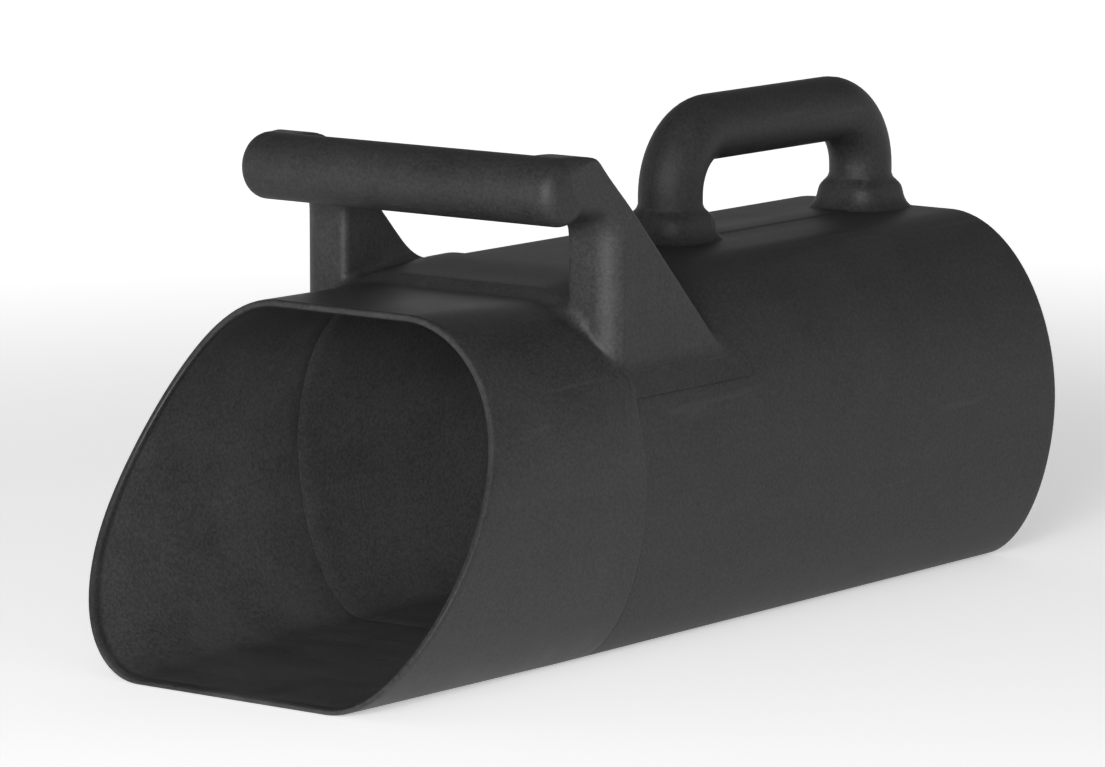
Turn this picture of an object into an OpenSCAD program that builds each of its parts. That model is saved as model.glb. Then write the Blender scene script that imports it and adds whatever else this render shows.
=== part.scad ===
// Hand-held beach sand scoop: moulded mouth and barrel, cross grip at the front,
// bridge handle at the rear. Lip of the mouth faces -Y, +Z is up, millimetres.
// Origin: middle of the length and width, on the ground plane.

/* [Overall] */
// length from the lip of the mouth to the rear edge of the barrel
scoop_l = 500; // [460:1:560]
// how far behind the lip the mouth shell ends and the barrel begins
seam_y = 167; // [155:1:180]

/* [Barrel section] */
// half of the greatest width
half_w = 103.4; // [99:0.2:108]
// height of the flat top deck above the flat bottom
deck_z = 170; // [166:0.5:176]
// height at which the section is widest
wide_z = 81.6; // [74:0.2:90]
// half width of the flat deck
deck_half = 41.7; // [36:0.1:46]
// half width of the flat bottom
floor_half = 61.5; // [54:0.1:68]
// wall thickness of the barrel
wall = 4; // [3:0.1:5]

/* [Mouth shell] */
// height of the mouth shell's flat top, a step below the deck
mouth_top_z = 163.5; // [160:0.5:165]
// height of the top of the rim
rim_top_z = 165.2; // [162:0.2:168]
// half of the rim's greatest width
rim_half_w = 105.2; // [100:0.2:108]
// how far the top of the rim is set back from the lip
rim_back = 77; // [60:1:95]
// thickness of the digging lip
lip_t = 2.6; // [2:0.1:3.5]
// depth of the tongue-and-groove joint between the mouth shell and the barrel
lap = 10; // [8:1:14]

/* [Front handle] */
// outside width over the two brackets
bracket_w = 182; // [180:0.5:184]
// clear width between the two brackets
hand_w = 127.4; // [124:0.2:130]
// distance from the lip back to the front cross grip
grip_y = 128.1; // [126:0.1:130]
// height of the cross grip's axis
grip_z = 217.6; // [214:0.1:219]
// radius of the cross grip
grip_r = 15.4; // [14:0.1:16]
// length of the cross grip, flush with the brackets' outer faces
grip_l = 182; // [176:1:182]
// overall height of the bracket heads
head_z = 235.2; // [234.6:0.2:238]
// thickness of the saddle that wraps the barrel below the brackets
saddle_t = 1.6; // [1.2:0.1:2.2]
// height of the lower edge of the saddle's side aprons
apron_z = 120.5; // [112:0.5:126]

/* [Rear handle] */
// distance from the lip to the front leg
leg1_y = 323; // [312:1:330]
// distance from the lip to the rear leg
leg2_y = 480; // [470:1:482]
// height of the rear handle's axis
handle_z = 220.8; // [216:0.2:230]
// radius of the rear handle
handle_r = 15.9; // [14:0.1:17]
// radius of the bends, at the axis
bend_r = 30; // [26:1:34]
// thickness of the handle's half shells
shell_t = 3.2; // [2.6:0.1:4]

/* [Sieve] */
// diameter of one sieve hole
hole_d = 8; // [6:0.5:9]
// distance between neighbouring holes
hole_pitch = 14; // [13:0.5:18]

/* [Hidden] */
$fn = 64;
steps = 14;               // outline steps in each quarter of a section
upper_n = 1.93;           // fullness of the barrel's upper quarters
lower_n = 1.86;           // fullness of the lower quarters
collar_n = 2.07;          // fullness of the mouth shell's shoulders
rim_upper_n = 1.94;
rim_lower_n = 1.97;
rim_wide = 0.43;          // share of the rim's height at which it is widest
rim_top_half = 37.7;
rim_floor_half = 54;
rings = 8;                // loft steps from the rim to the collar
collar_y = seam_y - 20;   // the mouth shell keeps one section from here back
bracket_out = bracket_w / 2;
bracket_in = hand_w / 2;
bracket_t = bracket_out - bracket_in;
post_y = seam_y - 8.5;    // front face of the bracket posts
post_r = 13;              // radius from a post's front face towards its outer edge
post_edge_r = 4;          // small radius on a post's inner front edge
head_r = 14;              // radius on the top rear corner of a head
head_drop = 36;           // depth of a head from its top to where the post begins
gusset_fall = 1.04;       // fall of the gusset's sloping edge, mm per mm of length
flare = 9;                // reach and height of the flare at a post's foot
tongue_in = wall * 0.34;  // depth of the tongue's and groove's walls below the skins
joint_gap = 0.15;
grip_gap = 0.1;
ridge_w = 16;             // low ridge along the middle of the deck
ridge_h = 0.6;
foot_h = 16;
foot_w = 38;
foot_d = 41;
foot_r = 11;
leg_bottom = deck_z + 4;
seat_y = scoop_l - 17;
plate_y = seat_y + 6;
clamp_y = plate_y + 3;
bracket_screw_x = 71;
bracket_screw_y = [seam_y + 15, seam_y + 28];
boss_z = 148.4;           // seats of the bracket screws, too high to be seen from the mouth
boss_r = 9;
screw_r = 2.95;           // M6 screws of the front handle, as plain shanks
head_r6 = 5.5;            // and their heads
socket_r = 2.9;
clear_r = 3.3;            // clearance holes for them
insert_r = 4.1;           // threaded inserts, and the holes they are pressed into
seat_wall = 8;            // wall between the cradle and a grip screw's head
seat_r = 7.6;             // spot face round a screw's head and washer
insert_z = 165;           // lower ends of the inserts in the brackets
sieve_screw_spots = [
  [0, deck_z - 9], [0, 9],
  [half_w - 10, wide_z], [-half_w + 10, wide_z],
  [68, 142], [-68, 142], [72, 20], [-72, 20]
];

// ---- outlines -------------------------------------------------------------

// right half of a section, from the flat top round the side to the flat bottom
function half_section(a, zm, top, bot, at, ab, nu, nl) = concat(
  [for (i = [steps : -1 : 0]) let (t = 90 * i / steps)
    [at + (a - at) * pow(cos(t), 2 / nu), zm + (top - zm) * pow(sin(t), 2 / nu)]],
  [for (i = [1 : steps]) let (t = 90 * i / steps)
    [ab + (a - ab) * pow(cos(t), 2 / nl), zm - (zm - bot) * pow(sin(t), 2 / nl)]]);

// the whole section: right half, then the left half mirrored
function whole(h) = concat(h, [for (i = [len(h) - 1 : -1 : 0]) [-h[i][0], h[i][1]]]);

// barrel section, every face moved in by d
function barrel_pts(d) = whole(half_section(half_w - d, wide_z, deck_z - d, d,
  deck_half, floor_half, upper_n, lower_n));

// section of the mouth shell where it meets the barrel
function collar_pts(d) = whole(half_section(half_w - d, wide_z, mouth_top_z - d, d,
  deck_half, floor_half, collar_n, lower_n));

// rim of the mouth, seen from the front; the floor of the lip is thinner than the rest
function rim_pts(d) = whole(half_section(rim_half_w - d, rim_wide * rim_top_z, rim_top_z - d,
  d * lip_t / wall, rim_top_half, rim_floor_half, rim_upper_n, rim_lower_n));

// how far back from the lip the rim lies at a share w of its height
function rim_y(w) = rim_back * w * (0.77 + 1.54 * w - 1.31 * w * w);

// ---- placing helpers --------------------------------------------------------

// all distances along the scoop are given from the lip
module from_lip() {
  translate([0, -scoop_l / 2, 0])
    children();
}

// a front-view outline made solid from y0 to y1
module along(y0, y1) {
  translate([0, y1, 0])
    rotate([90, 0, 0])
      linear_extrude(height = y1 - y0)
        children();
}

// a side-view outline (length, height) made solid from x0 to x1
module across(x0, x1) {
  translate([x0, 0, 0])
    rotate([90, 0, 90])
      linear_extrude(height = x1 - x0)
        children();
}

module barrel_solid(d, y0, y1) {
  along(y0, y1)
    polygon(barrel_pts(d));
}

module collar_solid(d, y0, y1) {
  along(y0, y1)
    polygon(collar_pts(d));
}

module both_sides() {
  children();
  mirror([1, 0, 0])
    children();
}

module rounded_rect(w, d, r) {
  square([w - 2 * r, d], center = true);
  square([w, d - 2 * r], center = true);
  for (sx = [-1, 1])
    for (sy = [-1, 1])
      translate([sx * (w / 2 - r), sy * (d / 2 - r)])
        circle(r = r);
}

// ---- scoop body ---------------------------------------------------------------

// ring of space points: an outline [x, z] placed at the distances ys
function ring(pts, ys) = [for (i = [0 : len(pts) - 1]) [pts[i][0], ys[i], pts[i][1]]];

// share s of the way from ring p to ring q
function blend(p, q, s) = [for (i = [0 : len(p) - 1]) p[i] * (1 - s) + q[i] * s];

// closed solid through a loop of rings, the last ring joined back to the first
module skin(loop) {
  n = len(loop[0]);
  m = len(loop);
  polyhedron(
    points = [for (r = loop) each r],
    faces = [for (j = [0 : m - 1]) for (i = [0 : n - 1])
      let (a = j * n + i, b = j * n + (i + 1) % n)
      let (c = (j + 1) % m * n + i, d = (j + 1) % m * n + (i + 1) % n)
      each [[a, b, d], [a, d, c]]]);
}

// one skin: out from the rim to the seam, round the groove in its end, back inside to the rim
module mouth_shell() {
  rim_out = rim_pts(0);
  rim_in = rim_pts(wall * 0.9);
  n = len(rim_out);
  rim_ys = [for (p = rim_out) rim_y(p[1] / rim_top_z)];
  function level(d, y) = ring(collar_pts(d), [for (i = [1 : n]) y]);
  first_out = ring(rim_out, rim_ys);
  first_in = ring(rim_in, rim_ys);
  end_y = seam_y - 0.4;
  groove_y = seam_y - lap - 0.4;
  color([0.16, 0.16, 0.165])
    from_lip()
      skin(concat(
        [for (j = [0 : rings]) blend(first_out, level(0, collar_y), j / rings)],
        [level(0, end_y),
         level(tongue_in, end_y), level(tongue_in, groove_y),
         level(wall - tongue_in, groove_y), level(wall - tongue_in, end_y),
         level(wall, end_y)],
        [for (j = [rings : -1 : 0]) blend(first_in, level(wall, collar_y), j / rings)]));
}

// plain holes and solids on the axes of the bracket screws
module bracket_screw_rods(r, z0, z1) {
  for (sx = [-1, 1])
    for (y = bracket_screw_y)
      translate([sx * bracket_screw_x, y, z0])
        cylinder(r = r, h = z1 - z0);
}

module barrel_shell() {
  color([0.16, 0.16, 0.165])
    from_lip()
      difference() {
        union() {
          difference() {
            barrel_solid(0, seam_y, scoop_l);
            barrel_solid(wall, seam_y + wall, scoop_l + 1);
          }
          collar_solid(tongue_in + joint_gap, seam_y - lap, seam_y + 1);
          // low moulding ridge along the middle of the deck
          translate([-ridge_w / 2, leg1_y + 20, deck_z - 1])
            cube([ridge_w, leg2_y - leg1_y - 40, 1 + ridge_h]);
          // bosses inside the shoulders, below the brackets
          intersection() {
            barrel_solid(1, seam_y, seam_y + 60);
            bracket_screw_rods(boss_r, boss_z, deck_z);
          }
        }
        collar_solid(wall - tongue_in - joint_gap, seam_y - lap - 1, seam_y + 0.5);
        collar_solid(wall + 0.3, seam_y, seam_y + wall + 1);
        bracket_screw_rods(clear_r, boss_z - 10, deck_z + 10);
        bracket_screw_rods(seat_r, boss_z - 20, boss_z);
        for (y = [leg1_y, leg2_y])
          translate([0, y, deck_z - 10])
            cylinder(r = 4.3, h = 20);
      }
}

// ---- front handle ---------------------------------------------------------------

module handle_saddle() {
  color([0.16, 0.16, 0.165])
    from_lip()
      difference() {
        intersection() {
          barrel_solid(-saddle_t, seam_y, seam_y + 90);
          across(-150, 150)
            polygon([[seam_y - 1, apron_z], [seam_y + 89, apron_z], [seam_y + 89, apron_z + 8],
              [seam_y + 50, deck_z - 1], [seam_y + 50, deck_z + 9], [seam_y - 1, deck_z + 9]]);
        }
        barrel_solid(0, seam_y - 1, seam_y + 91);
        bracket_screw_rods(clear_r, boss_z, deck_z + 10);
      }
}

// side view of a bracket: post, gusset, and head that cradles the grip from behind
module bracket_side() {
  under_z = head_z - head_drop;
  slope_y = seam_y - 26.5 + head_r * cos(45);
  slope_z = head_z - head_r * (1 - sin(45));
  slope_l = 135;
  polygon([
    [post_y, 100], [post_y, under_z],
    for (t = [0 : 15 : 75]) [post_y - 11 + 11 * cos(t), under_z + 10 * sin(t)],
    [grip_y + grip_r, head_z - 24], [grip_y, grip_z],
    [grip_y + 2, head_z],
    for (t = [90 : -9 : 45]) [slope_y + head_r * (cos(t) - cos(45)),
      head_z - head_r * (1 - sin(t))],
    [slope_y + slope_l, slope_z - slope_l * gusset_fall],
    [slope_y + slope_l, 80], [post_y, 80]
  ]);
}

// plan view of a right-hand post: small radius inside, broad radius that ends
// in a sharp edge where it meets the outer face
module bracket_plan() {
  arc_x = bracket_out - post_r * sin(68);
  intersection() {
    translate([bracket_in, post_y])
      square([bracket_t, 130]);
    union() {
      translate([bracket_in, post_y + post_r])
        square([bracket_t, 120]);
      translate([bracket_in, post_y + post_edge_r])
        square([arc_x - bracket_in, 20]);
      translate([bracket_in + post_edge_r, post_y])
        square([arc_x - bracket_in - post_edge_r, 20]);
      translate([bracket_in + post_edge_r, post_y + post_edge_r])
        circle(r = post_edge_r);
      translate([arc_x, post_y + post_r])
        circle(r = post_r);
    }
  }
}

// concave flare at the foot of the post, over the shoulder of the mouth shell
module bracket_flare() {
  top = mouth_top_z + 4;
  intersection() {
    across(bracket_in, bracket_out)
      difference() {
        translate([post_y - flare, 120])
          square([flare + 2, top - 120]);
        translate([post_y - flare, top])
          circle(r = flare);
      }
    linear_extrude(height = 300)
      polygon([[bracket_in, seam_y], [bracket_in, post_y - flare],
        [bracket_in + 4, post_y - flare], [bracket_in + 15, post_y - 4],
        [bracket_in + 22, post_y], [bracket_out, seam_y]]);
  }
}

module bracket_body() {
  mid_x = bracket_in + bracket_t / 2;
  difference() {
    union() {
      intersection() {
        across(bracket_in - 1, bracket_out + 1)
          bracket_side();
        union() {
          linear_extrude(height = 300)
            bracket_plan();
          translate([bracket_in, grip_y, head_z - head_drop])
            cube([bracket_t, 60, 60]);
        }
      }
      bracket_flare();
    }
    barrel_solid(-saddle_t, seam_y - 0.4, seam_y + 130);
    collar_solid(0, seam_y - 60, seam_y);
    // cradle for the grip, open to both faces
    translate([bracket_in - 1, grip_y, grip_z])
      rotate([0, 90, 0])
        cylinder(r = grip_r + grip_gap, h = bracket_t + 2);
    // blind holes for the inserts in the base
    bracket_screw_rods(insert_r, boss_z, insert_z + 11);
    // counterbored hole for the grip screw
    translate([mid_x, grip_y, grip_z])
      rotate([-90, 0, 0])
        cylinder(r = clear_r, h = 60);
    translate([mid_x, grip_y + grip_r + seat_wall, grip_z])
      rotate([-90, 0, 0])
        cylinder(r = 6.5, h = 40);
  }
}

module bracket_right() {
  color([0.17, 0.17, 0.175])
    from_lip()
      bracket_body();
}

module bracket_left() {
  color([0.17, 0.17, 0.175])
    from_lip()
      mirror([1, 0, 0])
        bracket_body();
}

module grip_places() {
  both_sides()
    translate([bracket_in + bracket_t / 2, grip_y, grip_z])
      rotate([-90, 0, 0])
        children();
}

module front_grip() {
  color([0.15, 0.15, 0.155])
    from_lip()
      difference() {
        translate([0, grip_y, grip_z])
          rotate([0, 90, 0])
            rotate_extrude()
              difference() {
                union() {
                  translate([0, -grip_l / 2 + 5])
                    square([grip_r, grip_l - 10]);
                  translate([0, -grip_l / 2])
                    square([grip_r - 5, grip_l]);
                  for (s = [-1, 1])
                    translate([grip_r - 5, s * (grip_l / 2 - 5)])
                      circle(r = 5);
                }
                translate([-20, -grip_l])
                  square([20, 2 * grip_l]);
              }
        grip_places()
          cylinder(r = insert_r, h = 30);
        grip_places()
          translate([0, 0, -6])
            cylinder(r = clear_r, h = 10);
      }
}

module grip_inserts() {
  color([0.75, 0.62, 0.32])
    from_lip()
      grip_places()
        translate([0, 0, 1])
          difference() {
            cylinder(r = insert_r, h = 13);
            translate([0, 0, -1])
              cylinder(r = 3, h = 20);
          }
}

module grip_screws() {
  color([0.7, 0.7, 0.72])
    from_lip()
      grip_places() {
        translate([0, 0, -4])
          cylinder(r = screw_r, h = grip_r + seat_wall + 4.5);
        translate([0, 0, grip_r + seat_wall])
          difference() {
            cylinder(r = head_r6, h = 5);
            translate([0, 0, 2.5])
              cylinder(r = socket_r, h = 5, $fn = 6);
          }
      }
}

module bracket_inserts() {
  color([0.75, 0.62, 0.32])
    from_lip()
      difference() {
        bracket_screw_rods(insert_r, insert_z, insert_z + 10);
        bracket_screw_rods(3, insert_z - 1, insert_z + 11);
      }
}

module bracket_washers() {
  color([0.7, 0.7, 0.72])
    from_lip()
      difference() {
        bracket_screw_rods(7, boss_z - 1.6, boss_z);
        bracket_screw_rods(3.2, boss_z - 3, boss_z + 1);
      }
}

module bracket_screws() {
  color([0.7, 0.7, 0.72])
    from_lip() {
      bracket_screw_rods(screw_r, boss_z - 2.6, insert_z + 8);
      difference() {
        bracket_screw_rods(head_r6, boss_z - 4.8, boss_z - 1.6);
        for (sx = [-1, 1])
          for (y = bracket_screw_y)
            translate([sx * bracket_screw_x, y, boss_z - 6])
              cylinder(r = socket_r, h = 3, $fn = 6);
      }
    }
}

// ---- rear handle ---------------------------------------------------------------

// path of the bridge handle swept by a disc of radius r
module handle_rod(r, low) {
  for (y = [leg1_y, leg2_y])
    translate([0, y, low])
      cylinder(r = r, h = handle_z - bend_r - low);
  translate([0, leg1_y + bend_r, handle_z])
    rotate([-90, 0, 0])
      cylinder(r = r, h = leg2_y - leg1_y - 2 * bend_r);
  translate([0, leg1_y + bend_r, handle_z - bend_r])
    rotate([90, 0, 90])
      rotate([0, 0, 90])
        rotate_extrude(angle = 90)
          translate([bend_r, 0])
            circle(r = r);
  translate([0, leg2_y - bend_r, handle_z - bend_r])
    rotate([90, 0, 90])
      rotate_extrude(angle = 90)
        translate([bend_r, 0])
          circle(r = r);
}

dowel_spots = [[leg1_y + 45, handle_z], [(leg1_y + leg2_y) / 2, handle_z], [leg2_y - 45, handle_z]];

// right-hand half shell with the bosses that take the dowels
module handle_half() {
  difference() {
    intersection() {
      union() {
        difference() {
          handle_rod(handle_r, leg_bottom);
          handle_rod(handle_r - shell_t, leg_bottom - 1);
        }
        for (p = dowel_spots)
          translate([0, p[0], p[1]])
            rotate([0, 90, 0])
              cylinder(r = 5, h = handle_r - 1.5);
      }
      translate([0.05, leg1_y - 60, 100])
        cube([60, leg2_y - leg1_y + 120, 200]);
    }
    for (p = dowel_spots)
      translate([-1, p[0], p[1]])
        rotate([0, 90, 0])
          cylinder(r = 2.5, h = 8.5);
  }
}

module rear_handle_right() {
  color([0.16, 0.16, 0.165])
    from_lip()
      handle_half();
}

module rear_handle_left() {
  color([0.16, 0.16, 0.165])
    from_lip()
      mirror([1, 0, 0])
        handle_half();
}

module handle_dowels() {
  color([0.55, 0.55, 0.56])
    from_lip()
      for (p = dowel_spots)
        translate([-7, p[0], p[1]])
          rotate([0, 90, 0])
            cylinder(r = 2.5, h = 14);
}

module leg_plugs() {
  color([0.3, 0.3, 0.31])
    from_lip()
      for (y = [leg1_y, leg2_y])
        translate([0, y, leg_bottom])
          difference() {
            cylinder(r = handle_r - shell_t, h = 16);
            translate([0, 0, -1])
              cylinder(r = 3.9, h = 14);
          }
}

// rounded block with a socket for the leg and a thin flange on the deck
module foot(y) {
  translate([0, y, deck_z])
    difference() {
      union() {
        linear_extrude(height = foot_h - 3)
          rounded_rect(foot_w, foot_d, foot_r);
        linear_extrude(height = foot_h)
          rounded_rect(foot_w - 3, foot_d - 3, foot_r - 1.5);
        linear_extrude(height = 5)
          rounded_rect(foot_w + 5, foot_d + 5, foot_r + 2.5);
        linear_extrude(height = 2)
          rounded_rect(foot_w + 13, foot_d + 11, foot_r + 6);
      }
      translate([0, 0, leg_bottom - deck_z])
        cylinder(r = handle_r, h = 40);
      translate([0, 0, -1])
        cylinder(r = 4.3, h = 20);
    }
}

module foot_front() {
  color([0.16, 0.16, 0.165])
    from_lip()
      difference() {
        foot(leg1_y);
        ridge_relief();
      }
}

// the rear foot stops flush with the rear edge of the barrel
module foot_rear() {
  color([0.16, 0.16, 0.165])
    from_lip()
      difference() {
        foot(leg2_y);
        ridge_relief();
        translate([-60, scoop_l - 0.5, deck_z - 10])
          cube([120, 30, 60]);
      }
}

// room in the feet for the ends of the deck ridge
module ridge_relief() {
  translate([-ridge_w / 2 - 0.2, leg1_y + 19.8, deck_z - 1])
    cube([ridge_w + 0.4, leg2_y - leg1_y - 39.6, 1.2 + ridge_h]);
}

module deck_backing_plate() {
  color([0.6, 0.6, 0.62])
    from_lip()
      translate([0, (leg1_y + leg2_y) / 2, deck_z - wall - 2.5])
        difference() {
          linear_extrude(height = 2.5)
            rounded_rect(44, leg2_y - leg1_y + 6, 3);
          for (s = [-1, 1])
            translate([0, s * (leg2_y - leg1_y) / 2, -1])
              cylinder(r = 4.3, h = 5);
        }
}

module handle_washers() {
  color([0.7, 0.7, 0.72])
    from_lip()
      for (y = [leg1_y, leg2_y])
        translate([0, y, deck_z - wall - 4.1])
          difference() {
            cylinder(r = 9, h = 1.6);
            translate([0, 0, -1])
              cylinder(r = 4.2, h = 4);
          }
}

module handle_screws() {
  color([0.7, 0.7, 0.72])
    from_lip()
      for (y = [leg1_y, leg2_y])
        translate([0, y, deck_z - wall - 4.1]) {
          translate([0, 0, -1])
            cylinder(r = 3.9, h = leg_bottom - deck_z + wall + 17);
          translate([0, 0, -5.3])
            difference() {
              cylinder(r = 7.5, h = 5.3, $fn = 6);
              translate([0, 0, -1])
                cylinder(r = 4, h = 1.6);
            }
        }
}

// ---- sieve end ---------------------------------------------------------------

module sieve_holes(r, y0, y1) {
  for (p = sieve_screw_spots)
    translate([p[0], y0, p[1]])
      rotate([-90, 0, 0])
        cylinder(r = r, h = y1 - y0);
}

module sieve_seat() {
  color([0.2, 0.2, 0.205])
    from_lip()
      difference() {
        barrel_solid(wall, seat_y, plate_y);
        barrel_solid(wall + 9, seat_y - 1, plate_y + 1);
        sieve_holes(1.9, seat_y + 0.6, plate_y + 1);
      }
}

module sieve_plate() {
  color([0.2, 0.2, 0.205])
    from_lip()
      difference() {
        along(plate_y, clamp_y)
          difference() {
            polygon(barrel_pts(wall));
            for (i = [-6 : 6])
              for (j = [-5 : 5])
                let (x = hole_pitch * (i + 0.5 * abs(j % 2)), z = 84 + hole_pitch * 0.9 * j,
                     u = x / (half_w - 22), v = (z - 84) / (deck_z / 2 - 18))
                  if (u * u * u * u + v * v * v * v <= 1)
                    translate([x, z])
                      circle(d = hole_d, $fn = 24);
          }
        sieve_holes(2.1, plate_y - 1, clamp_y + 1);
      }
}

module sieve_clamp_ring() {
  color([0.18, 0.18, 0.185])
    from_lip()
      difference() {
        barrel_solid(wall, clamp_y, clamp_y + 5);
        barrel_solid(wall + 9, clamp_y - 1, clamp_y + 6);
        sieve_holes(2.1, clamp_y - 1, clamp_y + 6);
      }
}

module sieve_screws() {
  color([0.7, 0.7, 0.72])
    from_lip()
      for (p = sieve_screw_spots)
        translate([p[0], seat_y + 1, p[1]])
          rotate([-90, 0, 0]) {
            cylinder(r = 1.9, h = 14);
            translate([0, 0, 13])
              difference() {
                cylinder(r = 3.4, h = 2.4);
                translate([0, 0, 1.2])
                  cylinder(r = 1.5, h = 3, $fn = 6);
              }
          }
}

mouth_shell();
barrel_shell();
handle_saddle();
bracket_left();
bracket_right();
front_grip();
grip_screws();
grip_inserts();
bracket_screws();
bracket_washers();
bracket_inserts();
rear_handle_left();
rear_handle_right();
handle_dowels();
leg_plugs();
foot_front();
foot_rear();
handle_screws();
handle_washers();
deck_backing_plate();
sieve_seat();
sieve_plate();
sieve_clamp_ring();
sieve_screws();
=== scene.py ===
"""Visual model of the beach sand scoop: moulded mouth and barrel, cross grip, bridge handle."""

import math

import bmesh
import bpy
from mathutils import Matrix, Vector


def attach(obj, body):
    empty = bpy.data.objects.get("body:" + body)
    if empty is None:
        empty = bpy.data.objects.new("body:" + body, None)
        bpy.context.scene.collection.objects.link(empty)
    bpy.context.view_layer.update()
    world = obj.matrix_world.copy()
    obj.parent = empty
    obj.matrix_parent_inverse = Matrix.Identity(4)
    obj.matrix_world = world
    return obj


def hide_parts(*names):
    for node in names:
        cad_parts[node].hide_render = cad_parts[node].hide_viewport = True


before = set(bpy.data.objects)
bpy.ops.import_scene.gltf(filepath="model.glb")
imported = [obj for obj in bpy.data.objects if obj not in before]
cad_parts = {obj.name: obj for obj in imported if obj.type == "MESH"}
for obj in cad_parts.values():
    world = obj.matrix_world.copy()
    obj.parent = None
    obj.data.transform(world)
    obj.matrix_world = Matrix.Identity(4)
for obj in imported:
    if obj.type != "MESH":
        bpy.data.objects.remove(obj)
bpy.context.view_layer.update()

# ---- sizes in millimetres; lengths run back from the lip ------------------------

LENGTH = 500.0
SEAM = 167.0
WALL = 4.0
QUARTER_STEPS = 26
FLAT_STEPS = 6

BARREL = dict(half=103.4, wide=81.6, top=170.0, deck=41.7, floor=61.5, upper=1.93, lower=1.86)
COLLAR = dict(BARREL, top=163.5, upper=2.07)
RIM_TOP = 165.2
RIM = dict(half=105.2, wide=0.43 * RIM_TOP, top=RIM_TOP, deck=37.7, floor=54.0,
           upper=1.94, lower=1.97)
RIM_BACK = 77.0
LIP_WALL = 2.6
COLLAR_Y = SEAM - 20
SADDLE = 1.6
SETTLE, SETTLE_RUN = 3.3, 42.0   # how low the deck starts behind the seam, and for how long
SETTLE_FROM, SETTLE_FULL = 130, 168   # heights between which this takes hold
SADDLE_CUT, SADDLE_CUT_FACING = (0, 217, 169), (0, 40.5, 39)   # slanting rear end of the saddle
APRON_Z = 120.5
RAMP = 11.0

BRACKET_OUT = 91.0
BRACKET_IN = 63.7
POST_Y = 158.5
GRIP_Y, GRIP_Z, GRIP_R, GRIP_HALF = 128.1, 217.6, 15.4, 91.0
GRIP_END_R, GRIP_RECESS = 8.0, 0.06   # radius at its ends; depth of an end inside its bracket
FRONT_R, FRONT_ARC, EDGE_R, WAIST_Z = 13.0, 68.0, 4.0, 188.0
ARC_X = BRACKET_OUT - FRONT_R * math.sin(math.radians(FRONT_ARC))   # where the front arc starts
BASE_SUNK = 1.2   # how far a bracket's base lies below the finished surface
SLOPE_Y, SLOPE_Z, SLOPE_FALL = 151.9, 229.6, 1.04
DRAWN_IN, DRAWN_FROM, DRAWN_FULL = 1.4, 205, 224   # drawing in of the slope, and its heights

LEG_FRONT, LEG_REAR = 323.0, 480.0
LEG_BOTTOM = 174.5
HANDLE_Z, HANDLE_R, BEND_R = 220.8, 15.9, 30.0


def place(x, y, z):
    """Millimetres from the lip to metres in the shared frame."""
    return Vector((x, y - LENGTH / 2, z)) * 0.001


def ease(low, high, value):
    t = min(max((value - low) / (high - low), 0.0), 1.0)
    return t * t * (3 - 2 * t)


# ---- outlines ---------------------------------------------------------------------


def half_outline(s, inset, floor_inset):
    """Right half of a section from the middle of the deck to the middle of the floor."""
    half, top, floor = s["half"] - inset, s["top"] - inset, floor_inset
    points = [(s["deck"] * i / FLAT_STEPS, top) for i in range(FLAT_STEPS)]
    for i in range(QUARTER_STEPS + 1):
        t = math.pi / 2 * (1 - i / QUARTER_STEPS)
        points.append((s["deck"] + (half - s["deck"]) * max(math.cos(t), 0) ** (2 / s["upper"]),
                       s["wide"] + (top - s["wide"]) * math.sin(t) ** (2 / s["upper"])))
    for i in range(1, QUARTER_STEPS + 1):
        t = math.pi / 2 * i / QUARTER_STEPS
        points.append((s["floor"] + (half - s["floor"]) * max(math.cos(t), 0) ** (2 / s["lower"]),
                       s["wide"] - (s["wide"] - floor) * math.sin(t) ** (2 / s["lower"])))
    points += [(s["floor"] * (1 - i / FLAT_STEPS), floor) for i in range(1, FLAT_STEPS + 1)]
    return points


def outline(s, inset=0.0, floor_inset=None):
    right = half_outline(s, inset, inset if floor_inset is None else floor_inset)
    return right + [(-x, z) for x, z in reversed(right[1:-1])]


def shoulder_z(s, x, inset=0.0):
    """Height of a section's upper surface at a distance x from the middle."""
    half, top = s["half"] - inset, s["top"] - inset
    u = min(max((abs(x) - s["deck"]) / (half - s["deck"]), 0.0), 1.0)
    return s["wide"] + (top - s["wide"]) * (1 - u ** s["upper"]) ** (1 / s["upper"])


def level(points, y):
    return [(x, y, z) for x, z in points]


def settle(y, z):
    """The deck and the saddle start low at the seam and rise to full height behind it."""
    start = 1 - ease(SEAM, SEAM + SETTLE_RUN, y)
    return z - SETTLE * start * ease(SETTLE_FROM, SETTLE_FULL, z)


def ramp_share(y):
    """How far the ramp from the mouth's collar up to the seam has climbed."""
    return ease(SEAM - RAMP, SEAM - 0.8, y)


def mix(p, q, t):
    return [tuple(a + (b - a) * t for a, b in zip(u, v)) for u, v in zip(p, q)]


def rim_y(z):
    w = z / RIM_TOP
    return RIM_BACK * w * (0.77 + 1.54 * w - 1.31 * w * w)


# ---- mesh helpers --------------------------------------------------------------------


def put(verts, points):
    for vert, point in zip(verts, points):
        vert.co = place(*point)


def between(row):
    """The edges that join the vertices of a ring, each once."""
    members = set(row)
    return list(dict.fromkeys(e for v in row for e in v.link_edges if set(e.verts) <= members))


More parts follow.
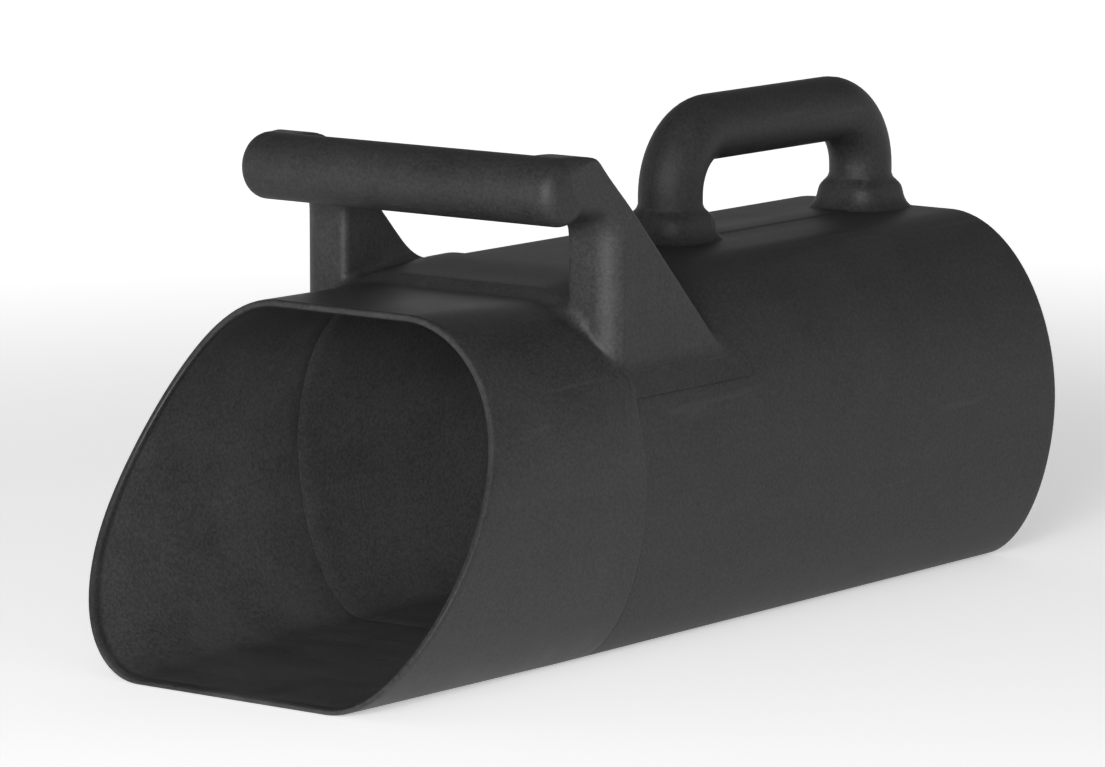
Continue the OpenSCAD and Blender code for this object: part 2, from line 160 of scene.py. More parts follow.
def loft(bm, rings, closed=False, caps=False, hollow=()):
    """A skin through rings of points, which are in millimetres from the lip. Each ring is
    extruded from the one before, so that every point stays with its own neighbour. The rings
    numbered in the last argument are marked for painted light: the finish makes them paler."""
    mark = bm.verts.layers.float.get("hollow") or bm.verts.layers.float.new("hollow")
    row = bmesh.ops.create_circle(bm, cap_ends=False, segments=len(rings[0]), radius=1)["verts"]
    put(row, rings[0])
    edges = first = between(row)
    for number, points in enumerate(rings[1:] + (rings[:1] if closed else []), 1):
        made = bmesh.ops.extrude_edge_only(bm, edges=edges)["geom"]
        fresh = {g for g in made if isinstance(g, bmesh.types.BMVert)}
        partner = {e.other_vert(v): v for v in fresh for e in v.link_edges
                   if e.other_vert(v) not in fresh}
        row = [partner[v] for v in row]
        edges = between(row)
        put(row, points)
        for vert in row:
            vert[mark] = 1.0 if number in hollow else 0.0
    if closed:
        ends = dict.fromkeys([v for e in first for v in e.verts] + row)
        bmesh.ops.remove_doubles(bm, verts=list(ends), dist=1e-7)
    if caps:
        bmesh.ops.edgeloop_fill(bm, edges=first)
        bmesh.ops.edgeloop_fill(bm, edges=edges)


def piece(name, bm, material, nodes, sharp=32):
    bmesh.ops.recalc_face_normals(bm, faces=bm.faces[:])
    mesh = bpy.data.meshes.new(name)
    bm.to_mesh(mesh)
    bm.free()
    mesh.polygons.foreach_set("use_smooth", [True] * len(mesh.polygons))
    mesh.set_sharp_from_angle(angle=math.radians(sharp))
    mesh.materials.append(material)
    obj = bpy.data.objects.new(name, mesh)
    bpy.context.scene.collection.objects.link(obj)
    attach(obj, "root")
    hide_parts(*nodes)
    return obj


def soften(obj, width_mm):
    """A small moulded radius on every sharp edge."""
    edge = obj.modifiers.new("moulded edges", "BEVEL")
    edge.width = width_mm * 0.001
    edge.segments = 3
    edge.limit_method = "ANGLE"
    edge.angle_limit = math.radians(30)
    edge.use_clamp_overlap = True
    edge.harden_normals = True


# ---- finishes ---------------------------------------------------------------------------


class Socket:
    """A shader socket that takes part in plain arithmetic."""

    def __init__(self, nodes, source):
        self.nodes, self.source = nodes, source

    def maths(self, operation, *values):
        return self.nodes.add("ShaderNodeMath", {"operation": operation},
                              {i: v for i, v in enumerate(values)})

    def __add__(self, other):
        return self.maths("ADD", self, other)

    def __sub__(self, other):
        return self.maths("SUBTRACT", self, other)

    def __mul__(self, other):
        return self.maths("MULTIPLY", self, other)

    def __rsub__(self, other):
        return self.maths("SUBTRACT", other, self)

    __radd__, __rmul__ = __add__, __mul__

    def clamp(self):
        return self.nodes.add("ShaderNodeClamp", {}, {"Value": self})


class Nodes:
    """add() makes any node of a tree from its type, settings and sockets."""

    def __init__(self, tree):
        self.tree = tree

    def add(self, kind, settings, sockets, out=0):
        node = self.tree.nodes.new(kind)
        for key, value in settings.items():
            if key == "stops":
                while len(node.color_ramp.elements) < len(value):
                    node.color_ramp.elements.new(0.5)
                for stop, (position, grey) in zip(node.color_ramp.elements, value):
                    stop.position, stop.color = position, (grey, grey, grey, 1)
            else:
                setattr(node, key, value)
        for key, value in sockets.items():
            self.feed(node.inputs[key], value)
        return Socket(self, node.outputs[out])

    def feed(self, target, value):
        if isinstance(value, Socket):
            self.tree.links.new(value.source, target)
        else:
            target.default_value = value

    def ramp(self, value, *stops):
        return self.add("ShaderNodeValToRGB", {"stops": stops}, {"Fac": value})


class Finish(Nodes):
    """One material for a piece."""

    def __init__(self, name):
        self.material = bpy.data.materials.new(name)
        self.material.use_nodes = True
        super().__init__(self.material.node_tree)
        self.shader = self.tree.nodes["Principled BSDF"]
        self.coords = self.add("ShaderNodeTexCoord", {}, {}, "Object")

    def set(self, **values):
        for key, value in values.items():
            self.feed(self.shader.inputs[key.replace("_", " ")], value)
        return self.material

    def noise(self, scale, detail=3.0, rough=0.5, coords=None):
        return self.add("ShaderNodeTexNoise", {},
                        {"Vector": coords or self.coords, "Scale": scale, "Detail": detail,
                         "Roughness": rough})

    def stretched(self, factors):
        return self.add("ShaderNodeVectorMath", {"operation": "MULTIPLY"},
                        {0: self.coords, 1: factors})

    def blend(self, factor, a, b):
        return self.add("ShaderNodeMix", {"data_type": "RGBA"}, {0: factor, 6: a, 7: b}, 2)

    def bump(self, height, strength, distance, below=None):
        sockets = {"Height": height, "Strength": strength, "Distance": distance}
        if below:
            sockets["Normal"] = below
        return self.add("ShaderNodeBump", {}, sockets)


PALER = 2.1   # how much paler the plastic is where light is painted inside the scoop, and where it is worn


def moulded_plastic(name, dark, light, grain=1.0, rough=0.56, floor_wear=0.0):
    """Moulded plastic: fine orange-peel grain, faint mottling, pale scuffs."""
    f = Finish(name)
    grain_fine = f.noise(640.0, 3.0, 0.75)
    grain_coarse = f.noise(420.0, 3.0, 0.55)
    mottle = f.noise(26.0, 4.0, 0.6)
    drag = f.noise(60.0, 3.0, 0.6, f.stretched((1.0, 0.12, 1.0)))
    speck = f.ramp(f.noise(700.0, 1.0, 0.4), (0.70, 0.0), (0.78, 1.0))
    scratch = f.ramp(f.noise(150.0, 2.0, 0.7, f.stretched((1.0, 0.05, 0.5))),
                     (0.66, 0.0), (0.72, 1.0))
    shade = (mottle * 0.35 + drag * 0.15 + grain_fine * 1.1 - 0.62) * 2.4
    worn = speck * 0.34 + scratch * 0.16
    if floor_wear:
        height = f.add("ShaderNodeSeparateXYZ", {}, {"Vector": f.coords}, "Z")
        low = f.add("ShaderNodeMapRange", {"interpolation_type": "SMOOTHSTEP"},
                    {"Value": height, "From Min": 0.004, "From Max": 0.03, "To Min": 1.0,
                     "To Max": 0.0})
        rubbed = f.ramp(f.noise(55.0, 5.0, 0.7, f.stretched((0.22, 1.0, 1.0))),
                        (0.46, 0.0), (0.66, 1.0))
        worn = worn + low * rubbed * floor_wear
    worn = worn.clamp()
    colour = f.blend(shade.clamp(), (*dark, 1), (*light, 1))
    # painted light: marked surfaces inside the scoop are made paler, as if more light reached in
    painted_light_share = f.add("ShaderNodeAttribute", {"attribute_name": "hollow"}, {}, "Fac")
    colour = f.blend(painted_light_share, colour, f.add("ShaderNodeVectorMath", {"operation": "MULTIPLY"},
                                          {0: colour, 1: (PALER, PALER, PALER)}))
    colour = f.blend(worn, colour, (*[min(c * PALER, 1) for c in light], 1))
    skin = f.bump(grain_coarse, 0.22 * grain, 0.0004)
    normal = f.bump(grain_fine, 0.35 * grain, 0.00022, skin)
    return f.set(Base_Color=colour, Roughness=(mottle * 0.14 + worn * 0.1 + (rough - 0.08)),
                 Normal=normal, Specular_IOR_Level=0.26)


def brushed_metal(name, tint, rough, stretch):
    f = Finish(name)
    lines = f.noise(900.0, 3.0, 0.6, f.stretched(stretch))
    stain = f.noise(90.0, 3.0, 0.6)
    colour = f.blend((lines * 0.5 + stain * 0.5).clamp(), (*[c * 0.72 for c in tint], 1),
                     (*tint, 1))
    return f.set(Base_Color=colour, Metallic=1.0, Roughness=lines * 0.16 + stain * 0.1 + rough,
                 Normal=f.bump(lines, 0.25, 0.0001))


body_plastic = moulded_plastic("scoop plastic", (0.0120, 0.0120, 0.0125),
                               (0.0290, 0.0290, 0.0298))
inside_plastic = moulded_plastic("mouth plastic", (0.0125, 0.0125, 0.0130),
                                 (0.0300, 0.0300, 0.0308), grain=0.8, rough=0.50,
                                 floor_wear=0.5)
grip_plastic = moulded_plastic("grip plastic", (0.0095, 0.0095, 0.0099), (0.0240, 0.0240, 0.0247),
                               grain=1.2, rough=0.58)
sieve_plastic = moulded_plastic("sieve plastic", (0.0200, 0.0200, 0.0207),
                                (0.0330, 0.0330, 0.0340), grain=0.9, rough=0.55)
dowel_plastic = moulded_plastic("dowel plastic", (0.15, 0.15, 0.152), (0.21, 0.21, 0.213),
                                grain=0.5, rough=0.5)
stainless = brushed_metal("stainless steel", (0.62, 0.62, 0.63), 0.24, (1.0, 1.0, 0.1))
insert_brass = brushed_metal("insert brass", (0.72, 0.58, 0.30), 0.26, (0.2, 1.0, 1.0))


# ---- scoop body --------------------------------------------------------------------------


def saddle_outline(y):
    """Barrel outline, pushed out by the saddle's thickness above its lower edge."""
    swollen, plain = outline(BARREL, -SADDLE), outline(BARREL)
    return [(x + (u - x) * ease(APRON_Z - 10, APRON_Z + 2, z),
             settle(y, z + (w - z) * ease(APRON_Z - 10, APRON_Z + 2, z)))
            for (x, z), (u, w) in zip(plain, swollen)]


def mouth_outer(t, y_shift=0.0):
    first = [(x, rim_y(z) + y_shift, z) for x, z in outline(RIM)]
    return mix(first, level(outline(COLLAR), COLLAR_Y), t)


def mouth_rings():
    """The rings of the mouth, and the numbers of those that lie inside it."""
    rings = [mouth_outer(i / 22) for i in range(1, 23)]
    collar, flush = outline(COLLAR), saddle_outline(SEAM)
    for y in [150, 153, 155.5, 157, 158.2, 159.4, 160.6, 161.8, 163, 164.2, 165.2, 166.0, 166.5]:
        t = ramp_share(y)
        rings.append([(a + (c - a) * t, y, b + (d - b) * t)
                      for (a, b), (c, d) in zip(collar, flush)])
    rings.append([(x * 0.999, SEAM - 0.14, z * 0.999 + 0.08) for x, z in flush])
    rings.append(level(outline(COLLAR, WALL * 0.5), SEAM - 0.12))
    start = len(rings)
    rings += [level(outline(COLLAR, inset), y) for inset, y in
              [(3.45, SEAM - 0.12), (3.52, SEAM - 0.6), (3.66, SEAM - 2.0), (3.84, SEAM - 4.2),
               (3.96, SEAM - 6.4)]]
    inner_end = outline(COLLAR, WALL)
    rings.append(level(inner_end, SEAM - 8))
    inner_start = [(x, rim_y(z), z) for x, z in outline(RIM, WALL * 0.9, LIP_WALL)]
    collar_in = level(inner_end, COLLAR_Y)
    rings += [mix(inner_start, collar_in, t / 20) for t in range(20, 0, -1)]
    inside = range(start, len(rings))
    for inset, back in [(3.6, 1.6), (3.52, 0.8), (3.2, 0.3), (2.7, 0.05), (1.8, 0.0),
                        (0.9, 0.05), (0.4, 0.3), (0.08, 0.9), (0.0, 1.8)]:
        edge = outline(RIM, inset, inset * LIP_WALL / (WALL * 0.9))
        base = [(x, rim_y(z) + back, z) for x, z in edge]
        toward = level(outline(COLLAR, inset), COLLAR_Y)
        rings.append(mix(base, toward, back / 110))
    return rings, inside


bm = bmesh.new()
mouth, mouth_inside = mouth_rings()
loft(bm, mouth, closed=True, hollow=mouth_inside)
piece("mouth_moulding", bm, inside_plastic, ["mouth_shell"])


def ridge_height(x, y):
    """Low ridge along the middle of the deck, between the feet."""
    along = ease(LEG_FRONT + 14, LEG_FRONT + 22, y) * (1 - ease(LEG_REAR - 22, LEG_REAR - 14, y))
    return 0.55 * along * (1 - ease(6.6, 9.2, abs(x)))


def deck_points(y, inset=0.0):
    points = []
    for x, z in outline(BARREL, inset):
        if z > BARREL["top"] - inset - 0.01 and abs(x) < BARREL["deck"]:
            spots = [0, 6.4, 7.3, 8.2, 9.4, 24]
            x = math.copysign(spots[round(abs(x) / BARREL["deck"] * FLAT_STEPS)], x)
            z += ridge_height(x, y)
        points.append((x, y, settle(y, z)))
    return points


bm = bmesh.new()
barrel_rings = [deck_points(SEAM + 0.12, 0.16), deck_points(SEAM + 0.26, 0.03)]
stations = [SEAM + 0.9, 180, 200, 225, 250, 275, 300, 320, 336, 339, 342, 345, 360, 385, 410,
            435, 457, 460, 463, 466, 480, 494, LENGTH - 1.6]
barrel_rings += [deck_points(y) for y in stations]
barrel_rings += [deck_points(LENGTH - 0.7, 0.12), deck_points(LENGTH - 0.2, 0.5),
                 deck_points(LENGTH, 1.1), deck_points(LENGTH, 2.9),
                 deck_points(LENGTH - 0.2, 3.5), deck_points(LENGTH - 0.8, 3.9),
                 deck_points(LENGTH - 2, WALL)]
inside_from = len(barrel_rings) - 1
cavity, passage = outline(BARREL, WALL), outline(COLLAR, WALL)
barrel_rings += [level(cavity, y) for y in (460, 400, 340, 280, 235, 210, 196)]
barrel_rings += [[(a + (c - a) * t, y, b + (d - b) * t) for (a, b), (c, d) in zip(cavity, passage)]
                 for y in (191, 187, 183, 179, 176) for t in [1 - ease(175, 192, y)]]
barrel_rings += [level(outline(COLLAR, inset), y) for inset, y in
                 [(WALL, SEAM + 8), (3.96, SEAM + 6.4), (3.84, SEAM + 4.2), (3.66, SEAM + 2.0),
                  (3.52, SEAM + 0.6), (3.45, SEAM + 0.1), (2.0, SEAM + 0.1)]]
loft(bm, barrel_rings, closed=True, hollow=range(inside_from, len(barrel_rings) - 1))
SCREW_X, SCREW_Y, SEAT_Z = 71.0, (SEAM + 15, SEAM + 28), 148.4
BOSS_R, HOLE_R, BOSS_SIDES = 9, 3.3, 40
for x in (-SCREW_X, SCREW_X):
    for y in SCREW_Y:
        cap = shoulder_z(BARREL, abs(x) + BOSS_R) + 0.5
        turns = [a * math.tau / BOSS_SIDES for a in range(BOSS_SIDES)]
        boss = [[(x + r * math.cos(a), y + r * math.sin(a), z) for a in turns] for r, z in
                [(HOLE_R, cap), (HOLE_R, SEAT_Z + 0.5), (HOLE_R + 0.5, SEAT_Z),
                 (BOSS_R - 0.6, SEAT_Z), (BOSS_R, SEAT_Z + 0.6), (BOSS_R, cap)]]
        loft(bm, boss, closed=True)
piece("barrel_moulding", bm, body_plastic, ["barrel_shell"])


# ---- saddle -------------------------------------------------------------------------------


def saddle_ring(y, swell=SADDLE):
    """Over the shoulders on the outside, and back again just inside the barrel's skin."""
    def arc(inset):
        right = [p for p in half_outline(BARREL, inset, inset) if p[1] >= APRON_Z]
        return [(-x, z) for x, z in reversed(right[1:])] + right

    out, back = arc(-swell), arc(0.3)
    trim = (len(back) - len(out)) // 2
    back = back[trim:len(back) - trim] if trim > 0 else back
    out = out[-trim:len(out) + trim] if trim < 0 else out
    return [(x, y, settle(y, z)) for x, z in out + back[::-1]]


bm = bmesh.new()
saddle_rings = [saddle_ring(SEAM + 0.12, SADDLE - 0.13), saddle_ring(SEAM + 0.26, SADDLE - 0.03)]
saddle_rings += [saddle_ring(y)
                 for y in (SEAM + 0.9, 175, 185, 195, 205, 215, 225, 235, 245, 256)]
loft(bm, saddle_rings, caps=True)
cut = bmesh.ops.bisect_plane(bm, geom=bm.verts[:] + bm.edges[:] + bm.faces[:],
                             plane_co=place(*SADDLE_CUT),
                             plane_no=Vector(SADDLE_CUT_FACING).normalized(), clear_outer=True)
bmesh.ops.holes_fill(bm, edges=[g for g in cut["geom_cut"] if isinstance(g, bmesh.types.BMEdge)])
saddle = piece("handle_saddle_skin", bm, body_plastic, ["handle_saddle"])
soften(saddle, 0.35)


# ---- brackets and the fillets at their feet -------------------------------------------------


def ground_z(x, y):
    """Height of the finished surface under a bracket: mouth collar, ramp, then saddle."""
    low, high = shoulder_z(COLLAR, x), settle(max(y, SEAM), shoulder_z(BARREL, x, -SADDLE))
    return low + (high - low) * ramp_share(y)


def slope_y_at(x):
    """Where the gusset's sloping edge comes down to the saddle."""
    return SLOPE_Y + (SLOPE_Z - shoulder_z(BARREL, x, -SADDLE)) / SLOPE_FALL


def plan(inner, outer, front, rear):
    """Plan outline of a right-hand bracket; rear is a function of the distance from the middle."""
    front_inner, front_outer, rear_r, arc = EDGE_R, FRONT_R, EDGE_R, math.radians(FRONT_ARC)
    arc_x = outer - front_outer * math.sin(arc)
    side_y = front + front_outer * (1 - math.cos(arc))
    rows = []
    for i in range(18):
        low = rear(inner) - rear_r
        rows.append((inner, low + (front + front_inner - low) * i / 18))
    for i in range(8):
        a = math.pi / 2 * i / 8
        rows.append((inner + front_inner * (1 - math.cos(a)),
                     front + front_inner * (1 - math.sin(a))))
    for i in range(12):
        rows.append((inner + front_inner + (arc_x - inner - front_inner) * i / 12, front))
    for i in range(12):
        a = arc * i / 12
        rows.append((arc_x + front_outer * math.sin(a), front + front_outer * (1 - math.cos(a))))
    for i in range(24):
        rows.append((outer, side_y + (rear(outer) - rear_r - side_y) * i / 24))
    for i in range(8):
        a = math.pi / 2 * i / 8
        x = outer - rear_r * (1 - math.cos(a))
        rows.append((x, rear(x) - rear_r * (1 - math.sin(a))))
    for i in range(12):
        x = outer - rear_r + (inner + 2 * rear_r - outer) * i / 12
        rows.append((x, rear(x)))
    for i in range(8):
        a = math.pi / 2 * i / 8
        x = inner + rear_r * (1 - math.sin(a))
        rows.append((x, rear(x) - rear_r * (1 - math.cos(a))))
    return rows


FLARE = [  # share of the way round the foot, then reach sideways, reach back, climb up the wall
    (0.00, -6.0, 8.0, 22.0), (0.03, -8.0, 6.0, 16.0), (0.07, -9.0, 1.0, 9.0),
    (0.12, -9.0, -1.0, 6.0), (0.165, -11.0, -3.0, 5.0), (0.20, -13.0, -6.0, 5.0),
    (0.235, -10.0, -8.5, 7.0), (0.27, -4.0, -8.5, 10.0), (0.31, -0.5, -5.5, 11.0),
    (0.345, 0.2, -2.5, 8.0), (0.373, 0.3, -1.2, 6.0), (0.43, 0.9, -0.8, 5.0),
    (0.49, 1.6, -0.2, 4.0), (0.60, 1.8, 0.0, 4.0), (0.70, 2.2, 1.0, 4.5),
    (0.765, 2.6, 3.6, 7.0), (0.84, 0.5, 7.0, 12.0), (0.90, -1.0, 8.5, 18.0),
    (0.97, -4.0, 9.0, 24.0), (1.00, -6.0, 8.0, 22.0)]


def flare_round(count):
    """Reach and climb at every column of the foot, evened out from one to the next."""
    rows = []
    for i in range(count):
        share = i / count
        low, high = next((a, b) for a, b in zip(FLARE, FLARE[1:]) if share <= b[0])
        t = (share - low[0]) / (high[0] - low[0])
        rows.append([a + (b - a) * t for a, b in zip(low[1:], high[1:])])
    for _ in range(3):
        rows = [[sum(rows[(i + k) % count][j] for k in range(-3, 4)) / 7 for j in range(3)]
                for i in range(count)]
    return rows


def rear_y_at(z):
    """The gusset's sloping edge, drawn in a little towards the crown."""
    return SLOPE_Y + (SLOPE_Z - z) / SLOPE_FALL - DRAWN_IN * ease(DRAWN_FROM, DRAWN_FULL, z)


def post_rings():
    tuck = 0.4
    foot = plan(BRACKET_IN, BRACKET_OUT, POST_Y, slope_y_at)
    waist = plan(BRACKET_IN, BRACKET_OUT, POST_Y, lambda x: rear_y_at(WAIST_Z))
    inside = plan(BRACKET_IN + tuck, BRACKET_OUT - tuck, POST_Y + tuck,
                  lambda x: rear_y_at(WAIST_Z) - tuck)
    columns = []
    for low, high, (dx, dy, climb) in zip(foot, waist, flare_round(len(foot))):
        corner = Vector((*low, ground_z(*low)))
        top = Vector((*high, WAIST_Z))
        up = top - corner
        wall = corner + up.normalized() * min(climb, up.length * 0.6)
        out = Vector((low[0] + dx, low[1] + dy, 0))
        out.z = ground_z(out.x, out.y)
        column = [Vector((out.x, out.y, out.z - BASE_SUNK))]
        for k in range(14):
            t = 1 - k / 13
            column.append(wall * (1 - t) ** 2 + corner * 2 * t * (1 - t) + out * t * t)
        columns.append(column + [wall.lerp(top, t) for t in (0.34, 0.67, 1.0)])
    rings = [[tuple(p) for p in row] for row in zip(*columns)]
    # the base closes in on its middle, always just under the finished surface
    middle = [sum(p[j] for p in rings[0]) / len(rings[0]) for j in range(2)]
    base = []
    for share in (0.02, 0.2, 0.4, 0.6, 0.8):
        spots = [[m + (c - m) * share for m, c in zip(middle, p)] for p in rings[0]]
        base.append([(x, y, ground_z(x, y) - BASE_SUNK) for x, y in spots])
    return base + rings + [[(x, y, WAIST_Z + 1) for x, y in inside]]


def fallen(radius, depth):
    """How far a rounded edge has fallen away at a depth from the face it ends in."""
    return radius - math.sqrt(max(radius ** 2 - max(radius - depth, 0) ** 2, 0))


# side view of a head as (length, height): below it first at the post's full depth, then where
# the radius at the outer edge runs out; then inside the bar, and over the crown
UNDER_FULL = [(158.5, 188), (158.5, 191), (158.4, 194), (157.9, 196.6), (156.8, 199.2),
              (155.0, 201.3), (152.5, 202.8), (149.5, 203.7), (146, 204.2), (142, 204.5),
              (138, 204.9), (134, 205.6)]
UNDER_EDGE = [(166.63, 188), (166.6, 191), (166.6, 194.5), (166.4, 198.5), (165.8, 201.2),
              (164.3, 203.9), (162.0, 206.0), (158.8, 207.6), (153.5, 209.2), (147, 210.4),
              (140, 211.2), (136, 212.2)]
IN_BAR = [(132.0, 214.6), (129.3, 217.6), (127.4, 222.0)]
CROWN = [(127.2, 233.05), (130, 233.05), (133, 233.0), (136, 232.9), (139.2, 232.75),
         (142.5, 232.4), (145.2, 231.9), (147.5, 231.2), (149.4, 230.2), (151.0, 228.8)]
CROWN_OUTER_R, CROWN_INNER_R = 1.8, 6.0   # radii along the crown's two edges


def head_ring(x):
    inner, outer = x - BRACKET_IN, BRACKET_OUT - x
    full = FRONT_R * (1 - math.cos(math.radians(FRONT_ARC)))
    swept = FRONT_R - math.sqrt(FRONT_R ** 2 - max(x - ARC_X, 0) ** 2)
    share = min(max(swept, fallen(EDGE_R, inner)) / full, 1)
    row = [tuple(a + (b - a) * share for a, b in zip(p, q))
           for p, q in zip(UNDER_FULL, UNDER_EDGE)] + IN_BAR
    rear = fallen(EDGE_R, min(inner, outer))
    for y, z in CROWN:
        outer_r = GRIP_END_R - (GRIP_END_R - CROWN_OUTER_R) * ease(GRIP_Y, 147, y)
        drop = max(fallen(outer_r, outer), fallen(CROWN_INNER_R, inner))
        back = ease(143, 151, y)
        row.append((y - rear * back * 0.7, z - drop * (1 - back * 0.55)))
    row += [(rear_y_at(z) - rear, z) for z in (226.4, 222, 217, 212, 207, 202, 197, 192, 188)]
    front, behind = row[0][0], row[-1][0]
    row += [(behind + (front - behind) * t, WAIST_Z) for t in (0.25, 0.5, 0.75)]
    return [(x, y, z) for y, z in row]


def head_rings():
    across = [BRACKET_IN + d for d in (0, 0.08, 0.3, 0.7, 1.2, 1.9, 2.8, 4, 5.4, 8, 11)]
    across += [ARC_X + FRONT_R * math.sin(math.radians(FRONT_ARC * i / 16)) for i in range(16)]
    across += [BRACKET_OUT - d for d in (0.3, 0.14, 0.05, 0)]
    return [head_ring(x) for x in across]


for side, node in ((1, "bracket_right"), (-1, "bracket_left")):
    bm = bmesh.new()
    for rings in (post_rings(), head_rings()):
        loft(bm, [[(x * side, y, z) for x, y, z in row] for row in rings], caps=True)
    bracket = piece(node + "_moulding", bm, body_plastic, [node], sharp=38)
    bracket.modifiers.new("flat broad faces", "WEIGHTED_NORMAL").keep_sharp = True


# ---- front grip ------------------------------------------------------------------------------


def disc(x, radius, segments=72):
    return [(x, GRIP_Y + radius * math.sin(i * math.tau / segments),
             GRIP_Z + radius * math.cos(i * math.tau / segments)) for i in range(segments)]


def grip_profile():
    face = GRIP_HALF - GRIP_RECESS
    rows = [(face, 2.0), (face, GRIP_R - GRIP_END_R - 1)]
    for i in range(1, 10):
        a = math.pi / 2 * i / 9
        rows.append((face - GRIP_END_R * (1 - math.cos(a)),
                     GRIP_R - GRIP_END_R * (1 - math.sin(a))))
    return rows


bm = bmesh.new()
rows = grip_profile()
stretch = [(x, GRIP_R) for x in (70, 50, 30, 10, -10, -30, -50, -70)]
loft(bm, [disc(x, r) for x, r in rows] + [disc(x, r) for x, r in stretch]
     + [disc(-x, r) for x, r in reversed(rows)], caps=True)
piece("cross_grip", bm, grip_plastic, ["front_grip"])


# ---- rear handle ---------------------------------------------------------------------------


def handle_path():
    """(y, z, angle) along the bridge; the angle is the outward direction of the section."""
    rise = (LEG_BOTTOM, 178, 182, 186, 188.5)
    path = [(LEG_FRONT, z, math.pi) for z in rise]
    for i in range(17):
        a = math.pi - math.pi / 2 * i / 16
        path.append((LEG_FRONT + BEND_R + BEND_R * math.cos(a),
                     HANDLE_Z - BEND_R + BEND_R * math.sin(a), a))
    path += [(LEG_FRONT + BEND_R + d, HANDLE_Z, math.pi / 2) for d in (16, 32, 48.5, 65, 81)]
    for i in range(17):
        a = math.pi / 2 - math.pi / 2 * i / 16
        path.append((LEG_REAR - BEND_R + BEND_R * math.cos(a),
                     HANDLE_Z - BEND_R + BEND_R * math.sin(a), a))
    return path + [(LEG_REAR, z, 0.0) for z in rise[::-1]]


HALF_GAP = 0.05                  # from the middle to the flat face of each half
FLATTER, PARTING = 0.965, 0.985  # shares of the radius at a half's side and at its flat face


def handle_section(side, radius):
    """Half a grip section, flattened a little so that the two halves meet in a low ridge."""
    flat = FLATTER * radius
    centre = (radius * radius - flat * flat) / (2 * flat)
    big = flat + centre
    spread = math.acos(centre / big)
    points = []
    for i in range(33):
        a = spread * (1 - 2 * i / 32)
        x, n = big * math.cos(a) - centre, big * math.sin(a)
        if i in (0, 32):
            x, n = HALF_GAP, n * PARTING
        points.append((max(x, HALF_GAP) * side, n))
    points += [(HALF_GAP * side, n * radius * PARTING) for n in (-0.5, 0.0, 0.5)]
    return points


for side, node in ((1, "rear_handle_right"), (-1, "rear_handle_left")):
    bm = bmesh.new()
    section = handle_section(side, HANDLE_R)
    loft(bm, [[(x, y + n * math.cos(a), z + n * math.sin(a)) for x, n in section]
              for y, z, a in handle_path()], caps=True)
    piece(node + "_half", bm, grip_plastic, [node], sharp=40)


# ---- feet of the rear handle ----------------------------------------------------------------


def rounded_block(y, half, radius, z, circle, leg):
    """Rounded square; circle moves it towards a round leg of the given radius."""
    points = []
    for i in range(64):
        a = (i + 0.5) * math.tau / 64
        quadrant = (1 if math.cos(a) > 0 else -1, 1 if math.sin(a) > 0 else -1)
        x = quadrant[0] * (half - radius) + radius * math.cos(a)
        d = quadrant[1] * (half - radius) + radius * math.sin(a)
        round_x, round_d = leg * math.cos(a), leg * math.sin(a)
        points.append((x + (round_x - x) * circle, y + d + (round_d - d) * circle, z))
    return points


FOOT_OUTLINE = [  # reach out from the leg, height above the deck
    (-0.9, 17.6), (-0.3, 16.4), (0.2, 15.6), (0.7, 15.0), (1.5, 14.2), (2.6, 13.0), (3.6, 11.7),
    (4.4, 10.3), (4.9, 8.8), (5.3, 7.2), (5.7, 5.6), (6.2, 4.2), (7.0, 2.7), (8.0, 1.4),
    (8.9, 0.5), (9.7, 0.05), (10.0, -0.1)]
SQUARED = 4.5   # reach at which a foot has taken its rounded-square plan
SIDE_GAIN, CORNER_LOSS = 0.457, 0.9   # how its side grows and its corner tightens up to there


def foot_rings(y):
    rings = []
    for reach, height in [(-0.9, 1.0), (-0.9, 14.0)] + FOOT_OUTLINE:
        share = min(max(reach / SQUARED, 0), 1)
        beyond = max(reach - SQUARED, 0)
        half = HANDLE_R + SIDE_GAIN * SQUARED * share + beyond
        radius = HANDLE_R - CORNER_LOSS * SQUARED * share + beyond
        rings.append(rounded_block(y, half, radius, BARREL["top"] + height,
                                   (1 - share) ** 2, HANDLE_R + min(reach, 0)))
    return rings


for y, node in ((LEG_FRONT, "foot_front"), (LEG_REAR, "foot_rear")):
    bm = bmesh.new()
    loft(bm, foot_rings(y), closed=True)
    if node == "foot_rear":
        cut = bmesh.ops.bisect_plane(bm, geom=bm.verts[:] + bm.edges[:] + bm.faces[:],
                                     plane_co=place(0, LENGTH - 0.6, 0), plane_no=(0, 1, 0),
                                     clear_outer=True)
        edges = [g for g in cut["geom_cut"] if isinstance(g, bmesh.types.BMEdge)]
        bmesh.ops.holes_fill(bm, edges=edges, sides=0)
    piece(node + "_boss", bm, body_plastic, [node], sharp=50)


# ---- the carried-over nodes ------------------------------------------------------------------

finishes = {
    "sieve": (sieve_plastic, ["sieve_seat", "sieve_plate", "sieve_clamp_ring"]),
    "steel": (stainless, ["grip_screws", "bracket_screws", "bracket_washers", "handle_screws",
                          "handle_washers", "deck_backing_plate", "sieve_screws"]),
    "brass": (insert_brass, ["grip_inserts", "bracket_inserts"]),
    "dowel": (dowel_plastic, ["handle_dowels", "leg_plugs"]),
}
for slot, (material, nodes) in finishes.items():
    for node in nodes:
        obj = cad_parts[node]
        obj.data.materials.clear()
        obj.data.materials.append(material)


# ---- floor, light and camera --------------------------------------------------------------------

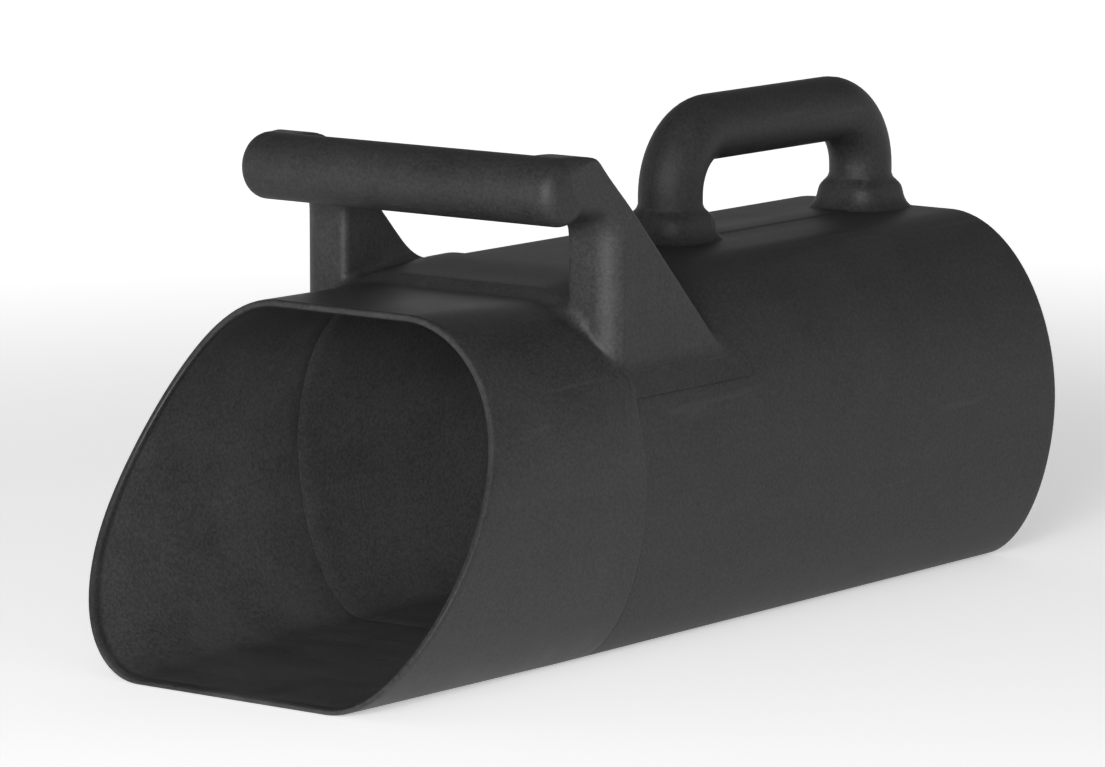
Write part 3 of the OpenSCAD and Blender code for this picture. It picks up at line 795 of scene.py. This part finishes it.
bm = bmesh.new()
bmesh.ops.create_grid(bm, x_segments=4, y_segments=4, size=6)
mesh = bpy.data.meshes.new("floor")
bm.to_mesh(mesh)
bm.free()
floor = bpy.data.objects.new("floor", mesh)
# painted light: the floor glows as backdrop and as fill from below, at half strength near the
# scoop and full strength far from it
floor_finish = Finish("pale floor")
reach = floor_finish.add("ShaderNodeVectorMath", {"operation": "LENGTH"},
                         {0: floor_finish.coords}, "Value")
away = floor_finish.add("ShaderNodeMapRange", {"interpolation_type": "SMOOTHSTEP"},
                        {"Value": reach, "From Min": 0.45, "From Max": 1.6})
floor_finish.set(Base_Color=floor_finish.blend(floor_finish.noise(3.0), (0.86, 0.86, 0.86, 1),
                                               (0.9, 0.9, 0.9, 1)), Roughness=0.9,
                 Emission_Color=floor_finish.ramp(away, (0.0, 0.5), (1.0, 1.0)),
                 Emission_Strength=0.8)
mesh.materials.append(floor_finish.material)
bpy.context.scene.collection.objects.link(floor)

world = bpy.data.worlds.new("studio")
world.use_nodes = True
sky = Nodes(world.node_tree)
upward = sky.add("ShaderNodeSeparateXYZ", {},
                 {"Vector": sky.add("ShaderNodeTexCoord", {}, {}, "Generated")}, "Z")
sky.feed(sky.tree.nodes["Background"].inputs["Color"],
         sky.ramp(upward, (0.04, 1.0), (0.42, 0.19)))
bpy.context.scene.world = world


def direction(azimuth, elevation):
    """From the scoop towards a place given in degrees round it and above the floor."""
    a, e = math.radians(azimuth), math.radians(elevation)
    return Vector((math.sin(a) * math.cos(e), -math.cos(a) * math.cos(e), math.sin(e)))


def soft_light(name, azimuth, elevation, distance, size, watts):
    back = direction(azimuth, elevation)
    data = bpy.data.lights.new(name, "AREA")
    data.shape, data.size, data.energy = "DISK", size, watts
    lamp = bpy.data.objects.new(name, data)
    lamp.location = Vector((0, 0, 0.12)) + back * distance
    lamp.rotation_euler = (-back).to_track_quat("-Z", "Y").to_euler()
    bpy.context.scene.collection.objects.link(lamp)


soft_light("key softbox", 27, 12, 2.7, 0.75, 52)
soft_light("broad front softbox", 20, 4, 2.6, 2.0, 62)

aim, distance = Vector((0.0190, -0.0429, 0.1167)), 2.8818
back = direction(37.675, 8.847)
lens = bpy.data.cameras.new("camera")
lens.sensor_width, lens.lens = 36.0, 204.58
lens.clip_end = 50
camera = bpy.data.objects.new("camera", lens)
camera.location = aim + back * distance
camera.rotation_euler = (-back).to_track_quat("-Z", "Y").to_euler()
bpy.context.scene.collection.objects.link(camera)
bpy.context.scene.camera = camera
bpy.context.scene.view_settings.view_transform = "Standard"
